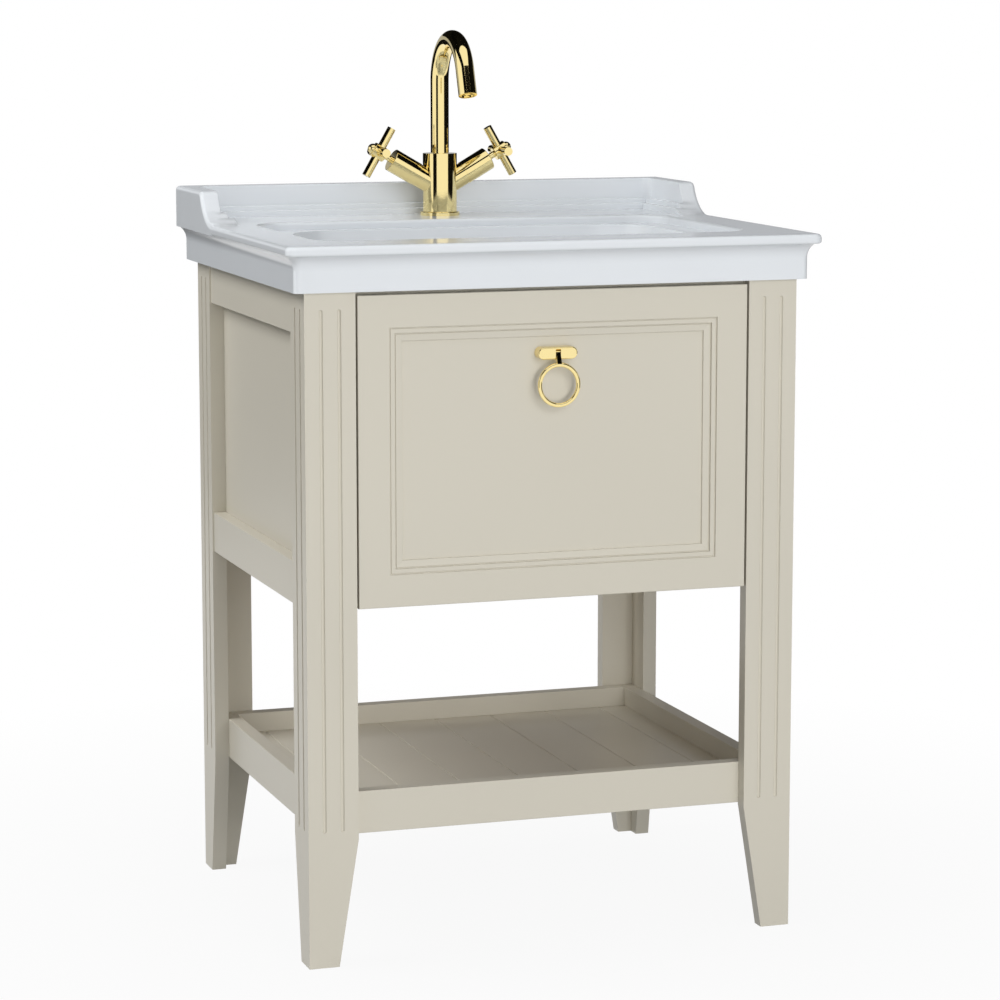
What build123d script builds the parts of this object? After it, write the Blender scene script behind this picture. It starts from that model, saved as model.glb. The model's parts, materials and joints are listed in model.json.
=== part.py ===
from build123d import *
import math
import os

# Vanity unit with a ceramic basin, a two-handle basin mixer and one deep drawer.
# X runs across the front, Y runs to the wall, Z is up. The origin is on the
# floor, under the middle of the basin's plan.

# Cabinet frame
cabinet_width = 600.0
cabinet_depth = 506.0
cabinet_height = 783.0
carcass_bottom = 418.5
board = 18.0
leg_face = 60.0
leg_foot = 36.0
taper_height = 150.0
rail_height = 50.0
side_rail_setback = 2.0
side_panel_thickness = 12.0
front_rail_thickness = 16.0
front_rail_gap = 1.0
bottom_rail_width = 60.0
corner_block_leg = 40.0
corner_block_height = 30.0

# Flutes in the legs
flute_radius = 2.25
flute_spacing = 21.5
flute_bottom_margin = 10.0
flute_top_margin = 19.5

# Wall fixing holes in the rear top rail
wall_hole_radius = 4.0
wall_hole_spacing = 400.0

# Low shelf tray
shelf_lift = 2.0
shelf_rail_height = 50.0
shelf_panel_thickness = 12.0
shelf_panel_drop = 24.5
shelf_groove_pitch = 76.0
shelf_groove_width = 2.4
shelf_groove_depth = 1.6

# Basin
basin_side_overhang = 25.0
basin_front_overhang = 22.0
basin_rear_overhang = 7.0
apron_height = 42.0
apron_side_inset = 12.5
apron_front_inset = 15.5
apron_corner = 7.0
rim_thickness = 11.5
rim_corner = 10.0
cove_width = 9.0
cove_height = 14.0
rim_top_radius = 5.0
rim_bottom_radius = 3.0
seat_margin = 4.0
shell = 11.0
splash_height = 39.0
splash_thickness = 22.0
splash_inner_corner = 12.0
ear_sweep_length = 61.2
ear_length = 182.7
ear_nose_radius = 9.5
foot_step = 7.0
foot_height = 13.0
foot_low_height = 7.0
recess_side_margin = 59.0
recess_front_margin = 77.5
recess_rear_margin = 146.5
recess_drop = 10.0
recess_corner = 42.0
recess_edge_radius = 4.0
ledge_side = 34.0
ledge_end = 15.0
bowl_corner = 60.0
bowl_depth = 114.0
bowl_taper = 14.0
bowl_floor_radius = 24.0

# Waste
waste_thread_radius = 20.9
waste_bore_radius = 17.5
waste_hole_clearance = 0.6
waste_flange_radius = 32.0
waste_flange_thickness = 3.0
waste_body_length = 50.0
waste_tail_radius = 16.0
waste_tail_bore = 13.8
waste_tail_length = 30.0
waste_tail_thread_radius = 15.0
waste_tail_thread_length = 20.0
waste_washer_radius = 30.0
waste_washer_thickness = 3.0
waste_nut_radius = 29.0
waste_nut_thickness = 9.0
waste_hub_radius = 7.0
waste_hub_height = 8.0
waste_hub_drop = 14.0
waste_spoke = 3.0
waste_spoke_bite = 0.5
plug_radius = 28.0
plug_thickness = 4.0
plug_edge = 2.8
plug_seat_gap = 0.3
plug_stem_radius = 4.0
plug_stem_length = 34.0

# Basin mixer
tap_from_wall = 72.0
tap_hole_radius = 17.5
tap_ring_radius = 25.0
tap_ring_thickness = 5.0
tap_ring_edge = 1.5
tap_body_radius = 21.5
tap_body_height = 73.2
tap_arm_radius = 14.0
tap_arm_angle = 30.0
tap_arm_rise = 34.0
tap_arm_length = 37.0
bonnet_radius = 14.6
bonnet_end = 74.0
bonnet_lip = 3.0
bonnet_edge = 1.0
valve_radius = 9.0
valve_start = 24.0
stem_radius = 4.0
stem_start = 58.0
stem_end = 88.0
handle_centre = 92.8
handle_bar_radius = 5.4
handle_bar_length = 68.0
handle_bar_edge = 0.8
hub_radius = 9.0
hub_length = 18.0
hub_cap_radius = 6.5
spout_radius = 11.5
spout_bend_radius = 53.0
spout_bend_angle = 160.0
spout_riser = 90.0
spout_tip_length = 35.0
spout_gap = 0.3
swivel_radius = 8.0
swivel_depth = 14.0
aerator_radius = 9.0
aerator_depth = 8.0
aerator_recess = 1.5
aerator_jet_radius = 1.5
aerator_jet_circle = 5.0
shank_radius = 15.8
shank_socket = 8.0
shank_below = 40.0
inlet_radius = 5.0
inlet_depth = 12.0
inlet_spacing = 14.0
tap_washer_radius = 26.0
tap_washer_thickness = 3.0
tap_nut_radius = 23.0
tap_nut_thickness = 8.0

# Drawer
door_side_gap = 2.3
door_top_gap = 4.7
door_bottom_gap = 0.7
door_thickness = 18.0
door_frame = 37.5
door_step_width = 6.0
door_step_drop = 1.5
door_bead_drop = 3.5
door_bead_width = 3.0
door_field_drop = 9.0
door_field_inset = 54.0
drawer_board = 12.0
drawer_waste_gap = 6.3
drawer_rear_space = 76.0
drawer_lift = 24.0
drawer_floor_thickness = 8.0
drawer_groove_height = 10.0
drawer_groove_depth = 6.0
pipe_notch_width = 180.0
pipe_notch_height = 75.0
pipe_notch_corner = 12.0

# Runners
runner_height = 45.0
runner_thickness = 12.7
runner_rear_margin = 9.0
runner_sheet = 1.2
runner_gap = 0.8
runner_door_gap = 3.0
runner_height_on_side = 57.0
leg_clearance = 2.0
packer_height = 60.0

# Ring pull
pull_width = 48.0
pull_height = 14.5
pull_depth = 17.0
pull_edge = 2.0
pull_from_top = 72.3
pull_slot_width = 6.2
pull_slot_depth = 7.5
pull_tab_width = 5.4
pull_ring_radius = 23.4
pull_wire_radius = 2.6
pull_pin_radius = 1.25
pull_pin_length = 16.0
pull_tab_radius = 3.4
pull_tab_gap = 1.6
pull_ring_drop = 36.4
pull_ring_forward = 6.0
pull_screw_spacing = 30.0

# Screws
screw_radius = 2.0
screw_head_radius = 4.0
screw_head_height = 2.5
screw_bite = 10.0
drawer_screw_inset = 20.0
drawer_screw_margin = 35.0

# Running clearance between a turning piece and its bearing
running_fit = 0.05

# Places worked out from the sizes above
half_width = cabinet_width / 2
basin_width = cabinet_width + 2 * basin_side_overhang
basin_depth = cabinet_depth + basin_front_overhang + basin_rear_overhang
cabinet_back = basin_depth / 2 - basin_rear_overhang
cabinet_front = cabinet_back - cabinet_depth
inner_half = half_width - board
inner_front = cabinet_front + board
inner_back = cabinet_back - board
panel_inner_half = inner_half - side_panel_thickness
rim_top = cabinet_height + apron_height + rim_thickness
rim_bottom = rim_top - rim_thickness
flute_bottom = taper_height + flute_bottom_margin
shelf_bottom = taper_height + shelf_lift
door_bottom = carcass_bottom + door_bottom_gap
door_half = half_width - leg_face - door_side_gap
door_top = cabinet_height - door_top_gap
door_back = cabinet_front + door_thickness
runner_outer_face = half_width - leg_face - leg_clearance
drawer_half = runner_outer_face - runner_thickness
drawer_bottom_z = door_bottom + drawer_lift
drawer_rear = cabinet_back - drawer_rear_space
runner_z = drawer_bottom_z + runner_height_on_side
runner_front = door_back + runner_door_gap
runner_length = drawer_rear - runner_rear_margin - runner_front
recess_width = basin_width - 2 * recess_side_margin
recess_length = basin_depth - recess_front_margin - recess_rear_margin
recess_mid_y = (recess_front_margin - recess_rear_margin) / 2
ledge_z = rim_top - recess_drop
deck_bottom = ledge_z - shell
bowl_floor_z = ledge_z - bowl_depth
waste_body_end = bowl_floor_z - waste_flange_thickness - waste_body_length
drawer_top_z = waste_body_end - waste_tail_length - drawer_waste_gap
tap_y = basin_depth / 2 - tap_from_wall
BOTH = (-1, 1)
SIDES = (("left", -1), ("right", 1))

# Slack allowed where a selector compares places
near = 0.1

os.makedirs("parts", exist_ok=True)


def save(piece, name):
    """Label a finished piece and write it as one STEP file."""
    piece.part.label = name
    export_step(piece.part, f"parts/{name}.step")


def near_place(shapes, axis, place):
    """Keep the shapes that lie at one place along an axis."""
    return shapes.filter_by_position(axis, place - near, place + near)


def span(x, y, z):
    """Add a square-edged board that fills the three given ranges."""
    centre = ((x[0] + x[1]) / 2, (y[0] + y[1]) / 2, (z[0] + z[1]) / 2)
    with Locations(centre):
        Box(abs(x[1] - x[0]), abs(y[1] - y[0]), z[1] - z[0])


def leg_board(plane, thickness):
    """Add one board of a leg: straight outside edge, tapered inside edge."""
    with BuildSketch(plane) as outline:
        with BuildLine():
            Polyline(
                (0, 0),
                (leg_foot, 0),
                (leg_face, taper_height),
                (leg_face, cabinet_height),
                (0, cabinet_height),
                close=True,
            )
        make_face()
    extrude(outline.sketch, amount=thickness)


def flute(x, y):
    """Cut one half-round vertical flute with rounded ends."""
    top = cabinet_height - flute_top_margin - flute_radius
    bottom = flute_bottom + flute_radius
    with Locations((x, y, (top + bottom) / 2)):
        Cylinder(flute_radius, top - bottom, mode=Mode.SUBTRACT)
    with Locations((x, y, top), (x, y, bottom)):
        Sphere(flute_radius, mode=Mode.SUBTRACT)


# Legs: two boards joined in an L, tapered towards the floor
for end, leg_y, into in (("front", cabinet_front, 1), ("rear", cabinet_back, -1)):
    for side, sx in SIDES:
        corner = (sx * half_width, leg_y, 0)
        face_plane = Plane(corner, x_dir=(-sx, 0, 0), z_dir=(0, sx, 0))
        flank_plane = Plane(corner, x_dir=(0, into, 0), z_dir=(into, 0, 0))
        with BuildPart() as leg:
            leg_board(face_plane, board * into * sx)
            leg_board(flank_plane, -board * into * sx)
            for step in (-flute_spacing / 2, flute_spacing / 2):
                flute(sx * half_width, leg_y + into * (leg_face / 2 + step))
                if end == "front":
                    flute(sx * (half_width - leg_face / 2 + step), leg_y)
        save(leg, f"leg_{end}_{side}")

# Side frames: two rails and a panel behind them, between the legs
rail_y = (cabinet_front + leg_face, cabinet_back - leg_face)
rail_heights = {
    "bottom": (carcass_bottom, carcass_bottom + rail_height),
    "top": (cabinet_height - rail_height, cabinet_height),
}
for level, rail_z in rail_heights.items():
    outer = half_width - side_rail_setback
    with BuildPart() as side_rails:
        for sx in BOTH:
            span((sx * inner_half, sx * outer), rail_y, rail_z)
    save(side_rails, f"side_rails_{level}")

for side, sx in SIDES:
    with BuildPart() as side_panel:
        span(
            (sx * panel_inner_half, sx * inner_half),
            (inner_front, inner_back),
            (carcass_bottom, cabinet_height),
        )
    save(side_panel, f"side_panel_{side}")

# Front rails: one on edge behind the drawer front, one flat under the drawer
across = (-panel_inner_half, panel_inner_half)
front_rail_y = inner_front + front_rail_gap
with BuildPart() as front_rail_top:
    span(across, (front_rail_y, front_rail_y + front_rail_thickness), rail_heights["top"])
save(front_rail_top, "front_rail_top")

with BuildPart() as front_rail_bottom:
    span(
        across,
        (front_rail_y, front_rail_y + bottom_rail_width),
        (carcass_bottom, carcass_bottom + board),
    )
save(front_rail_bottom, "front_rail_bottom")

# Rear rails: the top one is drilled for the wall fixings
with BuildPart() as rear_rail_top:
    span(across, (inner_back - board, inner_back), rail_heights["top"])
    rail_middle = (0, inner_back, cabinet_height - rail_height / 2)
    with Locations(Plane(rail_middle, x_dir=(1, 0, 0), z_dir=(0, 1, 0))):
        with GridLocations(wall_hole_spacing, 0, 2, 1):
            Hole(wall_hole_radius, depth=board)
save(rear_rail_top, "rear_rail_top")

with BuildPart() as rear_rail_bottom:
    span(across, (inner_back - board, inner_back), rail_heights["bottom"])
save(rear_rail_bottom, "rear_rail_bottom")

# Corner blocks glued under the basin in the four inner corners
with BuildPart() as corner_blocks:
    block_base = Plane.XY.offset(cabinet_height - corner_block_height)
    front_corner = front_rail_y + front_rail_thickness
    rear_corner = inner_back - board
    for sx in BOTH:
        for block_y, into in ((front_corner, 1), (rear_corner, -1)):
            corner_x = sx * panel_inner_half
            with BuildSketch(block_base):
                with BuildLine():
                    Polyline(
                        (corner_x, block_y),
                        (corner_x - sx * corner_block_leg, block_y),
                        (corner_x, block_y + into * corner_block_leg),
                        close=True,
                    )
                make_face()
            extrude(amount=corner_block_height)
save(corner_blocks, "corner_blocks")

# Shelf tray: four rails round a grooved panel that lies on two cleats
shelf_z = (shelf_bottom, shelf_bottom + shelf_rail_height)
panel_top = shelf_bottom + shelf_rail_height - shelf_panel_drop
panel_bottom = panel_top - shelf_panel_thickness
tray_half = inner_half - board
tray_y = (inner_front + board, inner_back - board)

with BuildPart() as shelf_rail_front:
    span((-inner_half, inner_half), (inner_front, tray_y[0]), shelf_z)
save(shelf_rail_front, "shelf_rail_front")

with BuildPart() as shelf_rail_rear:
    span((-inner_half, inner_half), (tray_y[1], inner_back), shelf_z)
save(shelf_rail_rear, "shelf_rail_rear")

with BuildPart() as shelf_rails_side:
    for sx in BOTH:
        span((sx * tray_half, sx * inner_half), tray_y, shelf_z)
save(shelf_rails_side, "shelf_rails_side")

with BuildPart() as shelf_cleats:
    cleat_z = (shelf_bottom, panel_bottom)
    span((-tray_half, tray_half), (tray_y[0], tray_y[0] + board), cleat_z)
    span((-tray_half, tray_half), (tray_y[1] - board, tray_y[1]), cleat_z)
save(shelf_cleats, "shelf_cleats")

shelf_grooves = 2 * int(tray_half / shelf_groove_pitch) + 1
with BuildPart() as shelf_panel:
    span((-tray_half, tray_half), tray_y, (panel_bottom, panel_top))
    with BuildSketch(Plane((0, tray_y[0], panel_top), x_dir=(1, 0, 0), z_dir=(0, -1, 0))):
        with GridLocations(shelf_groove_pitch, 0, shelf_grooves, 1):
            half_groove = shelf_groove_width / 2
            groove = [(-half_groove, 0), (0, -shelf_groove_depth), (half_groove, 0)]
            Polygon(*groove, align=None)
    extrude(amount=tray_y[0] - tray_y[1], mode=Mode.SUBTRACT)
save(shelf_panel, "shelf_panel")

# Basin. The splash rail's ears sweep down to the rim: a hollow curve of the
# larger radius runs into a nose of the smaller one, and both turn by sweep_angle.
basin_rear = basin_depth / 2
basin_front = -basin_depth / 2
basin_half = basin_width / 2
apron_front = basin_front + apron_front_inset
apron_half = basin_half - apron_side_inset
splash_top = rim_top + splash_height
sweep_angle = 2 * math.atan2(splash_height, ear_sweep_length)
sweep_radius = splash_height / (1 - math.cos(sweep_angle)) - ear_nose_radius
ear_start = basin_rear - ear_length


def ear_face(plane, height):
    """Sketch the ear's side view on a plane, cut off at a height above the rim."""
    nose_y = ear_start + ear_sweep_length
    meet_y = ear_start + sweep_radius * math.sin(sweep_angle)
    meet_z = rim_top + sweep_radius * (1 - math.cos(sweep_angle))
    with BuildSketch(plane) as face:
        with BuildLine():
            RadiusArc((ear_start, rim_top), (meet_y, meet_z), -sweep_radius)
            RadiusArc((meet_y, meet_z), (nose_y, splash_top), ear_nose_radius)
            Polyline(
                (nose_y, splash_top),
                (basin_rear, splash_top),
                (basin_rear, rim_bottom),
                (ear_start, rim_bottom),
                (ear_start, rim_top),
            )
        make_face()
        if height < splash_height:
            with Locations((0, (rim_bottom + rim_top + height) / 2)):
                Rectangle(2 * basin_depth, rim_thickness + height, mode=Mode.INTERSECT)
    return face.sketch


def bowl_outline(z, grow_x, grow_y, corner):
    """Sketch a rounded rectangle round the bowl's middle, larger than the recess."""
    with BuildSketch(Plane.XY.offset(z)) as outline:
        with Locations((0, recess_mid_y)):
            RectangleRounded(recess_width + 2 * grow_x, recess_length + 2 * grow_y, corner)
    return outline.sketch


with BuildPart() as basin:
    # Apron, with the rim above it
    with BuildSketch(Plane.XY.offset(cabinet_height)):
        with Locations((0, (apron_front + basin_rear) / 2)):
            Rectangle(2 * apron_half, basin_rear - apron_front)
    extrude(amount=apron_height)
    fillet(basin.edges().filter_by(Axis.Z).group_by(Axis.Y)[0], radius=apron_corner)
    with BuildSketch(Plane.XY.offset(rim_bottom)):
        Rectangle(basin_width, basin_depth)
    extrude(amount=rim_thickness)
    fillet(basin.edges().filter_by(Axis.Z).group_by(Axis.Y)[0], radius=rim_corner)
    under_rim = near_place(basin.faces().filter_by(Plane.XY), Axis.Z, rim_bottom).edges()
    fillet(
        under_rim.filter_by(
            lambda e: abs(e.center().X) > apron_half + near or e.center().Y < apron_front - near
        ),
        radius=rim_bottom_radius,
    )

    # Hollow cove between the apron and the rim
    with BuildLine() as cove_path:
        FilletPolyline(
            (-apron_half, basin_rear, rim_bottom),
            (-apron_half, apron_front, rim_bottom),
            (apron_half, apron_front, rim_bottom),
            (apron_half, basin_rear, rim_bottom),
            radius=apron_corner,
        )
    cove_start = Plane((-apron_half, basin_rear, rim_bottom), x_dir=(-1, 0, 0), z_dir=(0, -1, 0))
    with BuildSketch(cove_start):
        Rectangle(cove_width, cove_height, align=(Align.MIN, Align.MIN))
        with Locations((cove_width, cove_height)):
            Ellipse(cove_width, cove_height, mode=Mode.SUBTRACT)
    sweep(path=cove_path.wire())

    # Splash rail: a wall at the back and an ear at each side, all on a stepped foot
    for height, steps in ((splash_height, 0), (foot_height, 1), (foot_low_height, 2)):
        thickness = splash_thickness + steps * foot_step
        span(
            (-basin_half, basin_half),
            (basin_rear - thickness, basin_rear),
            (rim_bottom, rim_top + height),
        )
        for sx in BOTH:
            ear = ear_face(Plane.YZ.offset(sx * basin_half), height)
            extrude(ear, amount=-sx * thickness)
    upright = basin.edges().filter_by(Axis.Z)
    inner_corners = near_place(upright, Axis.Y, basin_rear - splash_thickness)
    fillet(inner_corners, radius=splash_inner_corner)

    # Rounded outer edge of the rim, which runs up over the ears
    rim_edge = basin.edges().filter_by(
        lambda e: e.center().Z > rim_top - near
        and (
            abs(abs(e.center().X) - basin_half) < near
            or e.center().Y < basin_front + rim_corner / 2
        )
        and e.center().Y < basin_rear - near
    )
    fillet(rim_edge, radius=rim_top_radius)

    # Recess, bowl and the hollow underside
    recess = bowl_outline(rim_top, 0, 0, recess_corner)
    extrude(recess, amount=-recess_drop, mode=Mode.SUBTRACT)
    recess_edge = near_place(basin.edges(), Axis.Z, rim_top).filter_by(
        lambda e: abs(e.center().X) < recess_width / 2 + near
        and abs(e.center().Y - recess_mid_y) < recess_length / 2 + near
    )
    fillet(recess_edge, radius=recess_edge_radius)
    underside_front = inner_front + seat_margin
    underside_rear = inner_back - seat_margin
    with BuildSketch(Plane.XY.offset(cabinet_height)):
        with Locations((0, (underside_front + underside_rear) / 2)):
            Rectangle(2 * (inner_half - seat_margin), underside_rear - underside_front)
    extrude(amount=deck_bottom - cabinet_height, mode=Mode.SUBTRACT)
    bowl = bowl_outline(ledge_z, shell - ledge_side, shell - ledge_end, bowl_corner + shell)
    extrude(bowl, amount=-bowl_depth - shell, taper=bowl_taper)
    fillet(basin.faces().sort_by(Axis.Z)[0].edges(), radius=bowl_floor_radius + shell)
    bowl = bowl_outline(ledge_z, -ledge_side, -ledge_end, bowl_corner)
    extrude(bowl, amount=-bowl_depth, taper=bowl_taper, mode=Mode.SUBTRACT)
    bowl_floor = near_place(basin.faces(), Axis.Z, bowl_floor_z)
    fillet(bowl_floor.edges(), radius=bowl_floor_radius)

    # Holes for the waste and the mixer
    with Locations((0, recess_mid_y, bowl_floor_z)):
        CounterBoreHole(
            radius=waste_thread_radius + waste_hole_clearance,
            counter_bore_radius=waste_flange_radius,
            counter_bore_depth=waste_flange_thickness,
            depth=shell,
        )
    with Locations((0, tap_y, rim_top)):
        Hole(tap_hole_radius, depth=rim_top - deck_bottom)
save(basin, "basin")

# Waste: a flanged body with a stem guide, its washer and nut, the tail and the plug
waste_body_top = bowl_floor_z - waste_flange_thickness
tail_top = waste_body_end + waste_tail_thread_length
bowl_underside = bowl_floor_z - shell


def waste_level(z):
    """Return the level plane at height z, centred on the waste."""
    return Plane((0, recess_mid_y, z))


with BuildPart() as waste_body:
    with BuildSketch(waste_level(bowl_floor_z)):
        Circle(waste_flange_radius)
    extrude(amount=-waste_flange_thickness)
    with BuildSketch(waste_level(waste_body_top)):
        Circle(waste_thread_radius)
    extrude(amount=-waste_body_length)
    with BuildSketch(waste_level(bowl_floor_z)):
        Circle(waste_bore_radius)
    extrude(amount=tail_top - bowl_floor_z, mode=Mode.SUBTRACT)
    with BuildSketch(waste_level(tail_top)):
        Circle(waste_tail_thread_radius)
    extrude(amount=-waste_tail_thread_length, mode=Mode.SUBTRACT)
    with BuildSketch(waste_level(bowl_floor_z - waste_hub_drop)):
        Circle(waste_hub_radius)
        with PolarLocations(waste_bore_radius / 2, 3, start_angle=90):
            Rectangle(waste_bore_radius + 2 * waste_spoke_bite, waste_spoke)
        Circle(plug_stem_radius + running_fit, mode=Mode.SUBTRACT)
    extrude(amount=-waste_hub_height)
save(waste_body, "waste_body")

with BuildPart() as waste_washer:
    with BuildSketch(waste_level(bowl_underside)):
        Circle(waste_washer_radius)
        Circle(waste_thread_radius, mode=Mode.SUBTRACT)
    extrude(amount=-waste_washer_thickness)
save(waste_washer, "waste_washer")

with BuildPart() as waste_nut:
    with BuildSketch(waste_level(bowl_underside - waste_washer_thickness)):
        RegularPolygon(waste_nut_radius, 6)
        Circle(waste_thread_radius, mode=Mode.SUBTRACT)
    extrude(amount=-waste_nut_thickness)
save(waste_nut, "waste_nut")

with BuildPart() as waste_tail:
    with BuildSketch(waste_level(tail_top)):
        Circle(waste_tail_thread_radius)
    extrude(amount=-waste_tail_thread_length)
    with BuildSketch(waste_level(waste_body_end)):
        Circle(waste_tail_radius)
    extrude(amount=-waste_tail_length)
    with BuildSketch(waste_level(tail_top)):
        Circle(waste_tail_bore)
    extrude(amount=-waste_tail_thread_length - waste_tail_length, mode=Mode.SUBTRACT)
save(waste_tail, "waste_tail")

with BuildPart() as waste_plug:
    with BuildSketch(waste_level(bowl_floor_z + plug_seat_gap)):
        Circle(plug_radius)
    extrude(amount=plug_thickness)
    fillet(waste_plug.faces().sort_by(Axis.Z)[-1].edges(), radius=plug_edge)
    with BuildSketch(waste_level(bowl_floor_z + plug_seat_gap)):
        Circle(plug_stem_radius)
    extrude(amount=-plug_stem_length)
save(waste_plug, "waste_plug")

# Basin mixer
tap_base = rim_top + tap_ring_thickness
tap_top = tap_base + tap_body_height
arm_start = (0, tap_y, rim_top + tap_arm_rise)
arm_lean = math.radians(tap_arm_angle)


def tap_level(z):
    """Return the level plane at height z, centred on the mixer."""
    return Plane((0, tap_y, z))


def along_arm(sx, distance):
    """Return the plane square to one arm, that far out along its axis."""
    outward = (sx * math.cos(arm_lean), 0, math.sin(arm_lean))
    start = Plane(arm_start, x_dir=(0, 1, 0), z_dir=outward)
    return start.offset(distance)


with BuildPart() as tap_ring:
    with BuildSketch(tap_level(rim_top)):
        Circle(tap_ring_radius)
        Circle(shank_radius, mode=Mode.SUBTRACT)
    extrude(amount=tap_ring_thickness)
    fillet(tap_ring.edges().group_by(Axis.Z)[-1].sort_by(SortBy.RADIUS)[-1], radius=tap_ring_edge)
save(tap_ring, "tap_ring")

with BuildPart() as tap_body:
    with BuildSketch(tap_level(tap_base)):
        Circle(tap_body_radius)
    extrude(amount=tap_body_height)
    for sx in BOTH:
        with BuildSketch(along_arm(sx, 0)):
            Circle(tap_arm_radius)
        extrude(amount=tap_arm_length)
        with BuildSketch(along_arm(sx, valve_start)):
            Circle(valve_radius)
        extrude(amount=tap_arm_length - valve_start, mode=Mode.SUBTRACT)
    with BuildSketch(tap_level(tap_top)):
        Circle(swivel_radius + running_fit)
    extrude(amount=-swivel_depth - spout_gap, mode=Mode.SUBTRACT)
    with BuildSketch(tap_level(tap_base)):
        Circle(shank_radius)
    extrude(amount=shank_socket, mode=Mode.SUBTRACT)
save(tap_body, "tap_body")

valve_end = bonnet_end - bonnet_lip
for side, sx in SIDES:
    with BuildPart() as bonnet:
        with BuildSketch(along_arm(sx, tap_arm_length)):
            Circle(bonnet_radius)
        extrude(amount=bonnet_end - tap_arm_length)
        fillet(bonnet.edges().sort_by(Axis.Z)[-1], radius=bonnet_edge)
        with BuildSketch(along_arm(sx, tap_arm_length)):
            Circle(valve_radius)
        extrude(amount=valve_end - tap_arm_length, mode=Mode.SUBTRACT)
        with BuildSketch(along_arm(sx, valve_end)):
            Circle(stem_radius + running_fit)
        extrude(amount=bonnet_lip, mode=Mode.SUBTRACT)
    save(bonnet, f"tap_bonnet_{side}")

    with BuildPart() as valve:
        with BuildSketch(along_arm(sx, valve_start)):
            Circle(valve_radius)
        extrude(amount=valve_end - valve_start)
        with BuildSketch(along_arm(sx, stem_start - spout_gap)):
            Circle(stem_radius + running_fit)
        extrude(amount=valve_end - stem_start + spout_gap, mode=Mode.SUBTRACT)
    save(valve, f"tap_valve_{side}")

    with BuildPart() as stem:
        with BuildSketch(along_arm(sx, stem_start)):
            Circle(stem_radius)
        extrude(amount=stem_end - stem_start)
    save(stem, f"tap_stem_{side}")

    with BuildPart() as handle:
        hub_start = handle_centre - hub_length / 2
        with BuildSketch(along_arm(sx, hub_start)):
            Circle(hub_radius)
        extrude(amount=hub_length)
        fillet(handle.edges().filter_by(GeomType.CIRCLE), radius=handle_bar_edge)
        with Locations(along_arm(sx, hub_start + hub_length)):
            Sphere(hub_cap_radius)
        with Locations(along_arm(sx, handle_centre)):
            for turn in ((90, 0, 0), (0, 90, 0)):
                Cylinder(handle_bar_radius, handle_bar_length, rotation=turn)
        with BuildSketch(along_arm(sx, hub_start)):
            Circle(stem_radius)
        extrude(amount=stem_end - hub_start, mode=Mode.SUBTRACT)
    save(handle, f"tap_handle_{side}")

# Swan-neck spout: a straight riser, a wide bend and a short straight outlet
riser_start = tap_top + spout_gap
bend_z = riser_start + spout_riser
bend_y = tap_y - spout_bend_radius
with BuildPart() as spout:
    with BuildLine(Plane.YZ) as spout_path:
        Line((tap_y, riser_start), (tap_y, bend_z))
        CenterArc((bend_y, bend_z), spout_bend_radius, 0, spout_bend_angle)
        bend_end = (
            bend_y + spout_bend_radius * math.cos(math.radians(spout_bend_angle)),
            bend_z + spout_bend_radius * math.sin(math.radians(spout_bend_angle)),
        )
        outlet = PolarLine(bend_end, spout_tip_length, spout_bend_angle + 90)
    with BuildSketch(tap_level(riser_start)):
        Circle(spout_radius)
    sweep(path=spout_path.wire())
    with BuildSketch(tap_level(riser_start)):
        Circle(swivel_radius)
    extrude(amount=-swivel_depth)
    tip_angle = math.radians(spout_bend_angle + 90)
    tip_way = (0, math.cos(tip_angle), math.sin(tip_angle))
    tip_plane = Plane(outlet @ 1, x_dir=(1, 0, 0), z_dir=tip_way)
    with BuildSketch(tip_plane):
        Circle(aerator_radius)
    extrude(amount=-aerator_depth, mode=Mode.SUBTRACT)
save(spout, "spout")

with BuildPart() as aerator:
    with BuildSketch(tip_plane.offset(-aerator_depth)):
        Circle(aerator_radius)
        with PolarLocations(aerator_jet_circle, 6):
            Circle(aerator_jet_radius, mode=Mode.SUBTRACT)
    extrude(amount=aerator_depth - aerator_recess)
save(aerator, "aerator")

# Mixer fixing: a threaded shank through the deck, a washer and a nut below it
with BuildPart() as tap_shank:
    shank_end = deck_bottom - shank_below
    with BuildSketch(tap_level(tap_base + shank_socket)):
        Circle(shank_radius)
    extrude(amount=shank_end - tap_base - shank_socket)
    with BuildSketch(tap_level(shank_end)):
        with GridLocations(inlet_spacing, 0, 2, 1):
            Circle(inlet_radius)
    extrude(amount=inlet_depth, mode=Mode.SUBTRACT)
save(tap_shank, "tap_shank")

with BuildPart() as tap_washer:
    with BuildSketch(tap_level(deck_bottom)):
        Circle(tap_washer_radius)
        Circle(shank_radius, mode=Mode.SUBTRACT)
    extrude(amount=-tap_washer_thickness)
save(tap_washer, "tap_washer")

with BuildPart() as tap_nut:
    with BuildSketch(tap_level(deck_bottom - tap_washer_thickness)):
        RegularPolygon(tap_nut_radius, 6)
        Circle(shank_radius, mode=Mode.SUBTRACT)
    extrude(amount=-tap_nut_thickness)
save(tap_nut, "tap_nut")

# Drawer front: a frame, two small steps and a slope down to a flat field
door_middle_z = (door_bottom + door_top) / 2
door_height = door_top - door_bottom
door_plane = Plane((0, cabinet_front, door_middle_z), x_dir=(1, 0, 0), z_dir=(0, -1, 0))
pull_z = door_top - pull_from_top
drawer_screw_x = drawer_half - drawer_screw_inset
drawer_screw_z = (drawer_bottom_z + drawer_screw_margin, drawer_top_z - drawer_screw_margin)


def door_inset(depth, inset):
    """Sketch the door's outline drawn in by inset, at a depth behind its face."""
    with BuildSketch(door_plane.offset(-depth)) as outline:
        Rectangle(2 * (door_half - inset), door_height - 2 * inset)
    return outline.sketch


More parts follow.
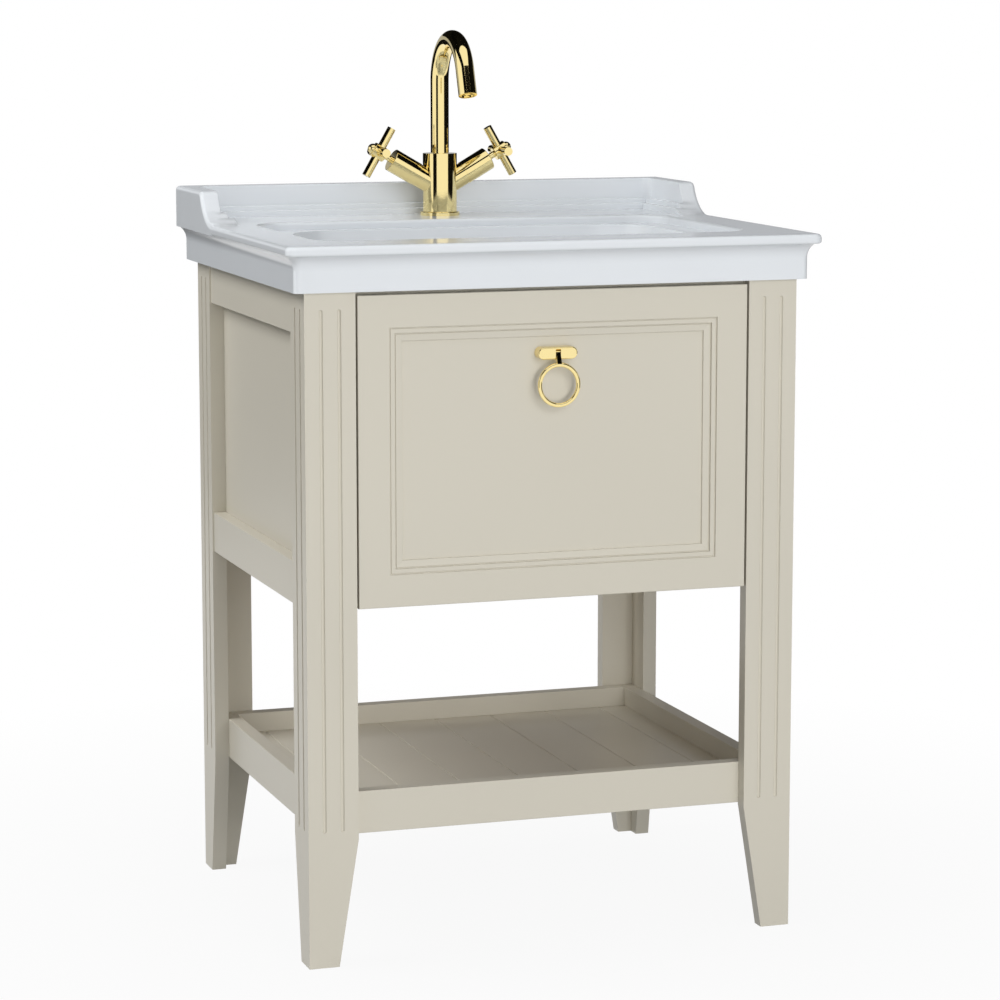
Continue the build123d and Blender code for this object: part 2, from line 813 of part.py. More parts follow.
with BuildPart() as drawer_front:
    extrude(door_inset(0, 0), amount=-door_thickness)
    extrude(door_inset(0, door_frame), amount=-door_step_drop, mode=Mode.SUBTRACT)
    bead_inset = door_frame + door_step_width
    extrude(door_inset(0, bead_inset), amount=-door_bead_drop, mode=Mode.SUBTRACT)
    slope_inset = bead_inset + door_bead_width
    field = door_inset(door_field_drop, door_field_inset)
    slope = door_inset(door_bead_drop, slope_inset)
    loft(Sketch() + [field, slope], mode=Mode.SUBTRACT)
    for screw_z in drawer_screw_z:
        with BuildSketch(Plane((0, door_back, screw_z), x_dir=(1, 0, 0), z_dir=(0, -1, 0))):
            with GridLocations(2 * drawer_screw_x, 0, 2, 1):
                Circle(screw_radius)
        extrude(amount=screw_bite, mode=Mode.SUBTRACT)
    with BuildSketch(Plane((0, door_back, pull_z), x_dir=(1, 0, 0), z_dir=(0, -1, 0))):
        with GridLocations(pull_screw_spacing, 0, 2, 1):
            Circle(screw_radius)
    extrude(amount=door_thickness, mode=Mode.SUBTRACT)
save(drawer_front, "drawer_front")

# Drawer box: the floor slides in grooves, and the back is cut away for the pipes
box_front_y = door_back + drawer_board
box_inner = drawer_half - drawer_board
box_z = (drawer_bottom_z, drawer_top_z)
floor_bottom = drawer_bottom_z + drawer_groove_height
floor_top = floor_bottom + drawer_floor_thickness
floor_half = box_inner + drawer_groove_depth
floor_front = box_front_y - drawer_groove_depth

with BuildPart() as drawer_floor:
    span((-floor_half, floor_half), (floor_front, drawer_rear), (floor_bottom, floor_top))
save(drawer_floor, "drawer_floor")

with BuildPart() as drawer_box_front:
    span((-drawer_half, drawer_half), (door_back, box_front_y), box_z)
    with Locations((0, (floor_front + box_front_y) / 2, (floor_bottom + floor_top) / 2)):
        Box(2 * floor_half, drawer_groove_depth, drawer_floor_thickness, mode=Mode.SUBTRACT)
    for screw_z in drawer_screw_z:
        with BuildSketch(Plane((0, box_front_y, screw_z), x_dir=(1, 0, 0), z_dir=(0, -1, 0))):
            with GridLocations(2 * drawer_screw_x, 0, 2, 1):
                Circle(screw_radius)
        extrude(amount=drawer_board, mode=Mode.SUBTRACT)
save(drawer_box_front, "drawer_box_front")

for side, sx in SIDES:
    with BuildPart() as drawer_side:
        span((sx * box_inner, sx * drawer_half), (box_front_y, drawer_rear), box_z)
        groove_middle = (
            sx * (box_inner + floor_half) / 2,
            (box_front_y + drawer_rear) / 2,
            (floor_bottom + floor_top) / 2,
        )
        with Locations(groove_middle):
            Box(
                drawer_groove_depth,
                drawer_rear - box_front_y,
                drawer_floor_thickness,
                mode=Mode.SUBTRACT,
            )
    save(drawer_side, f"drawer_side_{side}")

with BuildPart() as drawer_back:
    span((-box_inner, box_inner), (drawer_rear - drawer_board, drawer_rear), (floor_top, drawer_top_z))
    notch_bottom = floor_top + pipe_notch_height
    with Locations((0, drawer_rear - drawer_board / 2, (notch_bottom + drawer_top_z) / 2)):
        Box(pipe_notch_width, drawer_board, drawer_top_z - notch_bottom, mode=Mode.SUBTRACT)
    notch_corners = near_place(drawer_back.edges().filter_by(Axis.Y), Axis.Z, notch_bottom)
    notch_depth = drawer_top_z - notch_bottom
    fillet(notch_corners, radius=min(pipe_notch_corner, notch_depth / 2))
save(drawer_back, "drawer_back")

with BuildPart() as drawer_screws:
    for screw_z in drawer_screw_z:
        with BuildSketch(Plane((0, box_front_y, screw_z), x_dir=(1, 0, 0), z_dir=(0, -1, 0))):
            with GridLocations(2 * drawer_screw_x, 0, 2, 1):
                Circle(screw_radius)
        extrude(amount=drawer_board + screw_bite)
        with BuildSketch(Plane((0, box_front_y, screw_z), x_dir=(1, 0, 0), z_dir=(0, -1, 0))):
            with GridLocations(2 * drawer_screw_x, 0, 2, 1):
                Circle(screw_head_radius)
        extrude(amount=-screw_head_height)
save(drawer_screws, "drawer_screws")

# Three-part full-extension runners on packing strips
packer_z = (runner_z - packer_height / 2, runner_z + packer_height / 2)


def channel(web_x, flange_x, half_height):
    """Add one pressed runner member: an upright web with two flanges."""
    centre_x = (web_x + flange_x) / 2
    width = abs(web_x - flange_x)
    away = 1 if flange_x > web_x else -1
    with BuildSketch(Plane((0, runner_front, runner_z), x_dir=(1, 0, 0), z_dir=(0, -1, 0))) as c:
        with Locations((centre_x, 0)):
            Rectangle(width, 2 * half_height)
        with Locations((centre_x + away * runner_sheet, 0)):
            Rectangle(width, 2 * (half_height - runner_sheet), mode=Mode.SUBTRACT)
    extrude(c.sketch, amount=-runner_length)


for side, sx in SIDES:
    with BuildPart() as packer:
        span((sx * runner_outer_face, sx * panel_inner_half), (inner_front, inner_back), packer_z)
    save(packer, f"runner_packer_{side}")

    step = runner_sheet + runner_gap
    outer_half = runner_height / 2
    middle_half = outer_half - step
    inner_member_half = middle_half - step
    with BuildPart() as runner_outer:
        channel(sx * runner_outer_face, sx * (drawer_half + step), outer_half)
    save(runner_outer, f"runner_outer_{side}")

    with BuildPart() as runner_middle:
        channel(sx * (runner_outer_face - step), sx * (drawer_half + step), middle_half)
    save(runner_middle, f"runner_middle_{side}")

    with BuildPart() as runner_inner:
        channel(sx * drawer_half, sx * (runner_outer_face - 2 * step), inner_member_half)
    save(runner_inner, f"runner_inner_{side}")

# Ring pull: a bar with a slot, a pin across the slot and a ring on a short tab
pull_back = cabinet_front + door_field_drop
pull_front = pull_back - pull_depth
pin_y = pull_front + pull_tab_radius
with BuildPart() as pull_bar:
    with BuildSketch(Plane((0, pull_back, pull_z), x_dir=(1, 0, 0), z_dir=(0, -1, 0))):
        SlotOverall(pull_width, pull_height)
    extrude(amount=pull_depth)
    fillet(pull_bar.faces().sort_by(Axis.Y)[0].edges(), radius=pull_edge)
    slot_top = pull_z + pull_tab_radius + pull_tab_gap
    with Locations((0, pull_front + pull_slot_depth / 2, (slot_top + pull_z - pull_height) / 2)):
        Box(pull_slot_width, pull_slot_depth, slot_top - pull_z + pull_height, mode=Mode.SUBTRACT)
    with Locations((0, pin_y, pull_z)):
        Cylinder(pull_pin_radius, pull_pin_length, rotation=(0, 90, 0), mode=Mode.SUBTRACT)
    with BuildSketch(Plane((0, pull_back, pull_z), x_dir=(1, 0, 0), z_dir=(0, -1, 0))):
        with GridLocations(pull_screw_spacing, 0, 2, 1):
            Circle(screw_radius)
    extrude(amount=screw_bite, mode=Mode.SUBTRACT)
save(pull_bar, "pull_bar")

with BuildPart() as pull_pin:
    with Locations((0, pin_y, pull_z)):
        Cylinder(pull_pin_radius, pull_pin_length, rotation=(0, 90, 0))
save(pull_pin, "pull_pin")

with BuildPart() as pull_ring:
    ring_y = pin_y - pull_ring_forward
    ring_z = pull_z - pull_ring_drop
    with Locations((0, ring_y, ring_z)):
        Torus(pull_ring_radius, pull_wire_radius, rotation=(90, 0, 0))
    with BuildSketch(Plane.YZ):
        with Locations((pin_y, pull_z)):
            Circle(pull_tab_radius)
        with Locations((ring_y, ring_z + pull_ring_radius)):
            Circle(pull_wire_radius)
        make_hull()
    extrude(amount=pull_tab_width / 2, both=True)
    with Locations((0, pin_y, pull_z)):
        Cylinder(
            pull_pin_radius + running_fit,
            pull_slot_width,
            rotation=(0, 90, 0),
            mode=Mode.SUBTRACT,
        )
save(pull_ring, "pull_ring")

with BuildPart() as pull_screws:
    with BuildSketch(Plane((0, door_back, pull_z), x_dir=(1, 0, 0), z_dir=(0, -1, 0))):
        with GridLocations(pull_screw_spacing, 0, 2, 1):
            Circle(screw_radius)
    extrude(amount=door_thickness - door_field_drop + screw_bite)
    with BuildSketch(Plane((0, door_back, pull_z), x_dir=(1, 0, 0), z_dir=(0, -1, 0))):
        with GridLocations(pull_screw_spacing, 0, 2, 1):
            Circle(screw_head_radius)
    extrude(amount=-screw_head_height)
save(pull_screws, "pull_screws")
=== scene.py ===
"""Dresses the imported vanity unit: painted cabinet, glazed basin, polished mixer and ring pull."""

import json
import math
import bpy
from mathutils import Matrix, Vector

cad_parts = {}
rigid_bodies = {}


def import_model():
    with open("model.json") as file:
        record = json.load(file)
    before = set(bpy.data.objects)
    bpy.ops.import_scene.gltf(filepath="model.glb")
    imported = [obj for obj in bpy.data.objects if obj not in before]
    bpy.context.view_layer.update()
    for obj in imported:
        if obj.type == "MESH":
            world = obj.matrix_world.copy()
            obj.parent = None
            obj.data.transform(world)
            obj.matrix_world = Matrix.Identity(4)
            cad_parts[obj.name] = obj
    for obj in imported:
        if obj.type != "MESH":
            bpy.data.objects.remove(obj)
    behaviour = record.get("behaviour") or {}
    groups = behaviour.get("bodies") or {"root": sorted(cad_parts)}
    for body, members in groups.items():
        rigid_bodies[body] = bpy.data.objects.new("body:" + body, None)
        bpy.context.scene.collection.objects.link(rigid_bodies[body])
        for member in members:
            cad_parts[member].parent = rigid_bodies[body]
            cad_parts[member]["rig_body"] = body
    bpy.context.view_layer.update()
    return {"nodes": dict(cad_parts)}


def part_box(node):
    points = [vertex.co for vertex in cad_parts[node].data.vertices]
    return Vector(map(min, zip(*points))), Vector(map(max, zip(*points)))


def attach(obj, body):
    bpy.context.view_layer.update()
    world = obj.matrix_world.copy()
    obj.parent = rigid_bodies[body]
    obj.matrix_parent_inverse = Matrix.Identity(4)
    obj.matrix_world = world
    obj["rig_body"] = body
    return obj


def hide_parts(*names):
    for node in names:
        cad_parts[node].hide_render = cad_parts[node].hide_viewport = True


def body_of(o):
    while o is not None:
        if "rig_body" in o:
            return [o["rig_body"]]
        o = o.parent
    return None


bl_info = {
    "name": "Vanity unit with basin",
    "version": (1, 0, 0),
    "blender": (4, 5, 0),
    "location": "View3D > Sidebar > Vanity",
    "description": "Finishes the vanity unit's wood, china and metal, and sets the studio",
    "category": "Object",
}

import bmesh
import bpy
from bpy.props import FloatProperty, FloatVectorProperty, PointerProperty
from mathutils import Matrix, Vector

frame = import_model()
NODES = frame["nodes"]
MM = 0.001
CAMERA_YAW = 18.621
CAMERA_PITCH = 8.658
CAMERA_PLACE = (-1.2916, -3.8764, 1.1210)
CAMERA_LENS = 121.04


# Small tools


def linear(code):
    """Turn an sRGB hex colour into linear RGBA."""
    shades = [int(code[i : i + 2], 16) / 255 for i in (1, 3, 5)]
    curve = [c / 12.92 if c <= 0.04045 else ((c + 0.055) / 1.055) ** 2.4 for c in shades]
    return (*curve, 1.0)


def add(tree, kind, links=None, **settings):
    """Add a node. links maps an input to a socket or a value; settings are the node's own."""
    node = tree.nodes.new(kind)
    for key, value in settings.items():
        setattr(node, key, value)
    for key, value in (links or {}).items():
        if isinstance(value, bpy.types.NodeSocket):
            tree.links.new(value, node.inputs[key])
        else:
            node.inputs[key].default_value = value
    return node


def bare_material(name):
    """Start a material with an empty node tree."""
    material = bpy.data.materials.new(name)
    material.use_nodes = True
    material.node_tree.nodes.clear()
    return material, material.node_tree


def new_material(name, values):
    """Start a material whose Principled shader has these inputs, wired to its output."""
    material, tree = bare_material(name)
    shader = add(tree, "ShaderNodeBsdfPrincipled", values)
    add(tree, "ShaderNodeOutputMaterial", {"Surface": shader.outputs[0]})
    return material, tree, shader


def calculate(tree, operation, *values):
    """A calculation on one or two values or sockets."""
    return add(tree, "ShaderNodeMath", dict(enumerate(values)), operation=operation).outputs[0]


def place(tree, scale=(1, 1, 1)):
    """Object coordinates in metres, stretched by scale."""
    where = add(tree, "ShaderNodeTexCoord")
    mapping = add(tree, "ShaderNodeMapping", {"Vector": where.outputs["Object"], "Scale": scale})
    return mapping.outputs[0]


def noise(tree, where, size_mm, detail, roughness=0.5):
    """Noise whose features are about size_mm across."""
    return add(
        tree,
        "ShaderNodeTexNoise",
        {"Vector": where, "Scale": 1 / (size_mm * MM), "Detail": detail, "Roughness": roughness},
    ).outputs["Fac"]


def ramp(tree, factor, stops):
    """Colour ramp through (position, colour) stops."""
    node = add(tree, "ShaderNodeValToRGB", {"Fac": factor})
    marks = node.color_ramp.elements
    while len(marks) < len(stops):
        marks.new(0.5)
    for mark, (position, colour) in zip(marks, stops):
        mark.position = position
        mark.color = colour
    return node.outputs["Color"]


def shade_of(colour, factor):
    """A colour made lighter or darker, and opaque."""
    return (*(min(1, c * factor) for c in colour[:3]), 1)


def haze(tree, shader, size_mm, detail, low, high):
    """Let the roughness wander between two values, in patches of about size_mm."""
    patches = noise(tree, place(tree), size_mm, detail)
    rough = add(tree, "ShaderNodeMapRange", {"Value": patches, "To Min": low, "To Max": high})
    tree.links.new(rough.outputs[0], shader.inputs["Roughness"])


def bump(tree, shader, height, depth_mm, strength):
    """Wire a height into a shader's normal."""
    links = {"Height": height, "Distance": depth_mm * MM, "Strength": strength}
    node = add(tree, "ShaderNodeBump", links)
    tree.links.new(node.outputs[0], shader.inputs["Normal"])


# Finishes


def satin_paint(colours):
    """Satin ivory lacquer, sprayed on primed MDF: even colour, faint orange peel, soft sheen."""
    material, tree, shader = new_material(
        "satin_ivory_lacquer_on_mdf", {"Roughness": 0.38, "IOR": 1.48}
    )
    where = place(tree)
    # Colour drifts by about one part in a hundred from panel to panel, over 300 mm
    drift = noise(tree, where, 300, 1.0)
    low, high = shade_of(colours.paint, 0.985), shade_of(colours.paint, 1.012)
    tree.links.new(ramp(tree, drift, [(0.3, low), (0.7, high)]), shader.inputs["Base Color"])
    # Orange peel: 1.6 mm ripples, a few microns deep
    bump(tree, shader, noise(tree, where, 1.6, 1.0), 0.012, 0.35)
    return material


def vitreous_china(colours):
    """Vitreous china with a fired white glaze: a clear glossy coat over a cool white body."""
    material, tree, shader = new_material(
        "glazed_vitreous_china",
        {"Roughness": 0.16, "IOR": 1.5, "Coat Weight": 0.2, "Coat Roughness": 0.06},
    )
    where = place(tree)
    # The glaze pools a hundredth thicker and thinner, in patches of 60 mm
    pool = noise(tree, where, 60, 1.0)
    thin = shade_of(colours.glaze, 0.99)
    tree.links.new(ramp(tree, pool, [(0.3, thin), (0.7, colours.glaze)]), shader.inputs["Base Color"])
    # It flows in long soft waves, about 35 mm apart
    bump(tree, shader, noise(tree, where, 35, 1.0), 0.05, 0.5)
    return material


def polished_gold(colours):
    """Brass, buffed and coated gold by vapour deposition: a clean warm mirror."""
    material, tree, shader = new_material(
        "polished_gold_coated_brass", {"Base Color": colours.gold, "Metallic": 1.0}
    )
    # Buffing leaves a trace of haze in 12 mm patches
    haze(tree, shader, 12, 2.0, 0.035, 0.075)
    return material


def turned_brass(colours):
    """Bare brass as it leaves the lathe: fine turning rings, dull yellow."""
    material, tree, shader = new_material("turned_brass", {"Metallic": 1.0, "Roughness": 0.3})
    where = place(tree)
    tone = noise(tree, where, 6, 3.0)
    low = shade_of(colours.brass, 0.82)
    tree.links.new(ramp(tree, tone, [(0.3, low), (0.75, colours.brass)]), shader.inputs["Base Color"])
    rings = add(
        tree,
        "ShaderNodeTexWave",
        {"Vector": where, "Scale": 320.0, "Distortion": 0.4},
        bands_direction="Z",
    )
    bump(tree, shader, rings.outputs["Fac"], 0.02, 0.25)
    return material


def zinc_plate(colours):
    """Rolled steel strip with bright zinc plate: fine streaks along the runner."""
    material, tree, shader = new_material("zinc_plated_steel", {"Metallic": 1.0, "Roughness": 0.32})
    # Streaks are 0.8 mm wide and 50 times as long
    streak = noise(tree, place(tree, (1, 0.02, 1)), 0.8, 3.0)
    low = shade_of(colours.zinc, 0.85)
    tree.links.new(ramp(tree, streak, [(0.3, low), (0.7, colours.zinc)]), shader.inputs["Base Color"])
    bump(tree, shader, streak, 0.01, 0.3)
    return material


def chrome_tube(colours):
    """Chromium plate on drawn brass tube: a cold mirror, with a trace of haze."""
    material, tree, shader = new_material(
        "chromed_brass_tube", {"Base Color": colours.chrome, "Metallic": 1.0}
    )
    haze(tree, shader, 15, 1.0, 0.05, 0.1)
    return material


def moulded_rubber(colours):
    """Moulded black rubber: matt, with a fine bloom."""
    material, tree, shader = new_material("moulded_black_rubber", {"Roughness": 0.75})
    bloom = noise(tree, place(tree), 3, 3.0)
    pale = shade_of(colours.rubber, 1.8)
    tree.links.new(ramp(tree, bloom, [(0.35, colours.rubber), (0.8, pale)]), shader.inputs["Base Color"])
    bump(tree, shader, bloom, 0.03, 0.3)
    return material


def birch_ply(colours, name, along, across):
    """Birch plywood under clear lacquer: rotary-cut grain on the faces, thin plies on the edges."""
    material, tree, shader = new_material(name, {"Roughness": 0.42})
    # Grain figure is about 6 mm wide and 25 times as long
    stretch = [1.0, 1.0, 1.0]
    stretch["XYZ".index(along)] = 0.04
    grain_place = place(tree, stretch)
    figure = noise(tree, grain_place, 6, 4.0, 0.6)
    dark_grain, pale_grain = linear("#C9A878"), linear("#E9D2A8")
    face = ramp(tree, figure, [(0.25, dark_grain), (0.5, colours.birch), (0.75, pale_grain)])
    pores = noise(tree, grain_place, 0.7, 2.0)
    shade = ramp(tree, pores, [(0.3, linear("#D8C09A")), (0.6, linear("#FFFFFF"))])
    grain = add(
        tree,
        "ShaderNodeMix",
        {"Factor": 0.35, "A": face, "B": shade},
        data_type="RGBA",
        blend_type="MULTIPLY",
    )
    # On an upward edge the plies show: pale and dark layers of one thickness
    ply = 1.33 * MM
    where = add(tree, "ShaderNodeTexCoord")
    parts = add(tree, "ShaderNodeSeparateXYZ", {"Vector": where.outputs["Object"]})
    layer = calculate(tree, "MULTIPLY", parts.outputs[across], 1 / (2 * ply))
    fraction = calculate(tree, "FRACT", layer)
    pale_ply, dark_ply, glue_side = linear("#DDBE8C"), linear("#A9824F"), linear("#B08A58")
    plies = ramp(
        tree, fraction, [(0.44, pale_ply), (0.5, dark_ply), (0.94, glue_side), (1.0, pale_ply)]
    )
    facing = add(tree, "ShaderNodeNewGeometry")
    normal = add(tree, "ShaderNodeSeparateXYZ", {"Vector": facing.outputs["Normal"]})
    upward = calculate(tree, "ABSOLUTE", normal.outputs["Z"])
    edge = calculate(tree, "GREATER_THAN", upward, 0.7)
    mixed = add(
        tree,
        "ShaderNodeMix",
        {"Factor": edge, "A": grain.outputs["Result"], "B": plies},
        data_type="RGBA",
    )
    tree.links.new(mixed.outputs["Result"], shader.inputs["Base Color"])
    bump(tree, shader, pores, 0.03, 0.3)
    return material


# Shapes


def new_piece(name, mesh):
    """Put a mesh in the scene as an object."""
    piece = bpy.data.objects.new(name, mesh)
    bpy.context.scene.collection.objects.link(piece)
    return piece


def merged_copy(node, name):
    """Copy a CAD node's mesh under a new name, with its loose triangles joined."""
    weld, flat = 0.001 * MM, math.radians(0.2)
    mesh = NODES[node].data.copy()
    mesh.name = name
    shape = bmesh.new()
    shape.from_mesh(mesh)
    bmesh.ops.remove_doubles(shape, verts=shape.verts, dist=weld)
    bmesh.ops.dissolve_limit(shape, angle_limit=flat, verts=shape.verts, edges=shape.edges)
    shape.to_mesh(mesh)
    shape.free()
    if "custom_normal" in mesh.attributes:
        mesh.attributes.remove(mesh.attributes["custom_normal"])
    return new_piece(name, mesh)


def settle(piece):
    """Turn a piece and its modifiers into a plain mesh."""
    bpy.context.view_layer.update()
    solid = bpy.data.meshes.new_from_object(
        piece.evaluated_get(bpy.context.evaluated_depsgraph_get())
    )
    solid.name = piece.name
    piece.modifiers.clear()
    piece.data = solid


def dress(piece, material):
    """Give a piece one material."""
    piece.data.materials.clear()
    piece.data.materials.append(material)


def shade_smooth(mesh):
    """Shade every face of a mesh smooth."""
    for face in mesh.polygons:
        face.use_smooth = True


def finished(shape, name, material):
    """Turn a closed bmesh into a piece of one material, with its faces outwards."""
    bmesh.ops.recalc_face_normals(shape, faces=shape.faces)
    mesh = bpy.data.meshes.new(name)
    shape.to_mesh(mesh)
    shape.free()
    piece = new_piece(name, mesh)
    dress(piece, material)
    return piece


def eased_board(node, material, radius):
    """Copy a board, with its sharp edges sanded to a small radius."""
    piece = merged_copy(node, f"painted_{node}")
    ease = piece.modifiers.new("sanded_edge", "BEVEL")
    ease.width = radius
    ease.segments = 3
    ease.limit_method = "ANGLE"
    ease.angle_limit = math.radians(35)
    ease.harden_normals = True
    shade_smooth(piece.data)
    settle(piece)
    dress(piece, material)
    return piece


def eased_china(node, name, above, radius, material):
    """Copy a glazed piece and round its sharp edges above a height, as thick glaze does."""
    sharp = math.radians(40)
    piece = merged_copy(node, name)
    shape = bmesh.new()
    shape.from_mesh(piece.data)
    weight = shape.edges.layers.float.new("bevel_weight_edge")
    for edge in shape.edges:
        high_up = min(corner.co.z for corner in edge.verts) > above
        if high_up and edge.is_manifold and edge.calc_face_angle() > sharp:
            edge[weight] = 1.0
    shape.to_mesh(piece.data)
    shape.free()
    shade_smooth(piece.data)
    piece.data.set_sharp_from_angle(angle=sharp)
    ease = piece.modifiers.new("glazed_edge", "BEVEL")
    ease.width = radius
    ease.segments = 4
    ease.limit_method = "WEIGHT"
    flat = piece.modifiers.new("flat_faces", "WEIGHTED_NORMAL")
    flat.keep_sharp = True
    settle(piece)
    dress(piece, material)
    return piece


def rim_cove(name, sizes, material):
    """Sweep a hollow moulding under the basin's rim, round the front and both sides.

    With the rim's rounded lower edge it reads as one ogee."""
    corner_steps, hollow_steps = 8, 10
    low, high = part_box("basin")
    left, right = low[0] + sizes.apron_side_inset, high[0] - sizes.apron_side_inset
    front, corner = low[1] + sizes.apron_front_inset, sizes.apron_corner
    # Each station of the path holds its place and its outward direction
    stations = [((left, high[1]), 180)]
    for middle, start in ((left + corner, 180), (right - corner, 270)):
        for step in range(corner_steps + 1):
            angle = start + 90 * step / corner_steps
            turn = math.radians(angle)
            place_x = middle + corner * math.cos(turn)
            stations.append(((place_x, front + corner + corner * math.sin(turn)), angle))
    stations.append(((right, high[1]), 360))
    # The profile climbs a quarter hollow from the apron and closes inside the china
    radius, bite = sizes.cove_radius, 1.0 * MM
    sweep = math.acos(1 - sizes.cove_reach / radius)
    top = high[2] - sizes.splash_height - sizes.rim_thickness + bite / 2
    foot = top - radius * math.sin(sweep)
    profile = []
    for i in range(hollow_steps + 1):
        climb = sweep * i / hollow_steps
        profile.append((radius * (1 - math.cos(climb)), foot + radius * math.sin(climb)))
    profile += [(-bite, top), (-bite, foot)]
    shape = bmesh.new()
    rings = []
    for (x, y), angle in stations:
        across, along = math.cos(math.radians(angle)), math.sin(math.radians(angle))
        # In front the rim hangs out further, and the hollow with it
        stretch = 1 + (sizes.apron_front_inset / sizes.apron_side_inset - 1) * along * along
        ring = []
        for out, z in profile:
            ring.append(shape.verts.new((x + out * stretch * across, y + out * stretch * along, z)))
        rings.append(ring)
    for near, far in zip(rings, rings[1:]):
        for i in range(len(profile)):
            shape.faces.new((near[i - 1], near[i], far[i], far[i - 1]))
    shape.faces.new(rings[0])
    shape.faces.new(rings[-1])
    piece = finished(shape, name, material)
    shade_smooth(piece.data)
    piece.data.set_sharp_from_angle(angle=math.radians(30))
    return piece


def framed_front(node, name, sizes, material):
    """Build the drawer front from one profile, carried round its four sides with mitred corners.

    A profile point is (distance in from the edge, drop behind the face). From the edge inwards
    come the flat frame, two steps that each start with a fine dark groove, and the sunk field."""
    low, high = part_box(node)
    edge, edge_steps = sizes.front_edge, 4
    arris, groove, groove_depth = 0.35 * MM, 1.4 * MM, 1.2 * MM
    outer_fall, inner_fall, inner_slope = 1.4 * MM, 1.9 * MM, 1.0 * MM
    profile = [(0, high[1] - low[1])]
    for step in range(edge_steps + 1):
        turn = math.radians(90 * step / edge_steps)
        profile.append((edge * (1 - math.cos(turn)), edge * (1 - math.sin(turn))))
    inset, drop = sizes.frame_width, 0.0
    for width, fall, slope in (
        (sizes.bead_width, outer_fall, 0.0),
        (sizes.band_width, inner_fall, inner_slope),
    ):
        profile += [(inset - arris, drop), (inset, drop + arris)]
        drop += fall
        profile += [(inset, drop + groove_depth), (inset + groove, drop + groove_depth)]
        profile += [(inset + groove, drop + arris), (inset + groove + arris, drop)]
        inset += width
        drop += slope
    profile += [(inset - arris, drop), (inset, drop + arris), (inset, sizes.field_drop)]
    shape = bmesh.new()
    rings = []
    for inset, drop in profile:
        corners = (
            (low[0] + inset, low[2] + inset),
            (high[0] - inset, low[2] + inset),
            (high[0] - inset, high[2] - inset),
            (low[0] + inset, high[2] - inset),
        )
        rings.append([shape.verts.new((x, low[1] + drop, z)) for x, z in corners])
    for outer, inner in zip(rings, rings[1:]):
        for i in range(4):
            shape.faces.new((outer[i], outer[i - 1], inner[i - 1], inner[i]))
    shape.faces.new(rings[0])
    shape.faces.new(rings[-1])
    return finished(shape, name, material)


def growth_tree(name, lengths):
    """Start a geometry tree: points in, named lengths in metres, a finish, and its start node."""
    tree = bpy.data.node_groups.new(name, "GeometryNodeTree")
    tree.is_modifier = True
    tree.interface.new_socket("Points", in_out="INPUT", socket_type="NodeSocketGeometry")
    for label in lengths:
        tree.interface.new_socket(label, in_out="INPUT", socket_type="NodeSocketFloat")
    tree.interface.new_socket("Finish", in_out="INPUT", socket_type="NodeSocketMaterial")
    tree.interface.new_socket("Shape", in_out="OUTPUT", socket_type="NodeSocketGeometry")
    return tree, add(tree, "NodeGroupInput").outputs


def on_points(tree, given, shape, rotation=(0, 0, 0)):
    """Close a geometry tree: put the shape on each point, make it real and give it its finish."""
    copies = add(
        tree,
        "GeometryNodeInstanceOnPoints",
        {"Points": given["Points"], "Instance": shape, "Rotation": rotation},
    )
    real = add(tree, "GeometryNodeRealizeInstances", {"Geometry": copies.outputs[0]})
    coated = add(
        tree, "GeometryNodeSetMaterial", {"Geometry": real.outputs[0], "Material": given["Finish"]}
    )
    add(tree, "NodeGroupOutput", {"Shape": coated.outputs[0]})
    return tree


def thread_tree():
    """A round-crested ridge wound on a cylinder: the thread of a shank."""
    tree, given = growth_tree("thread_ridge", ("Radius", "Pitch", "Length", "Crest"))
    turns = calculate(tree, "DIVIDE", given["Length"], given["Pitch"])
    helix = add(
        tree,
        "GeometryNodeCurveSpiral",
        {
            "Resolution": 40,
            "Rotations": turns,
            "Start Radius": given["Radius"],
            "End Radius": given["Radius"],
            "Height": given["Length"],
        },
    )
    section = add(tree, "GeometryNodeCurvePrimitiveCircle", {"Resolution": 6, "Radius": given["Crest"]})
    ridge = add(
        tree,
        "GeometryNodeCurveToMesh",
        {"Curve": helix.outputs[0], "Profile Curve": section.outputs[0], "Fill Caps": True},
    )
    return on_points(tree, given, ridge.outputs[0])


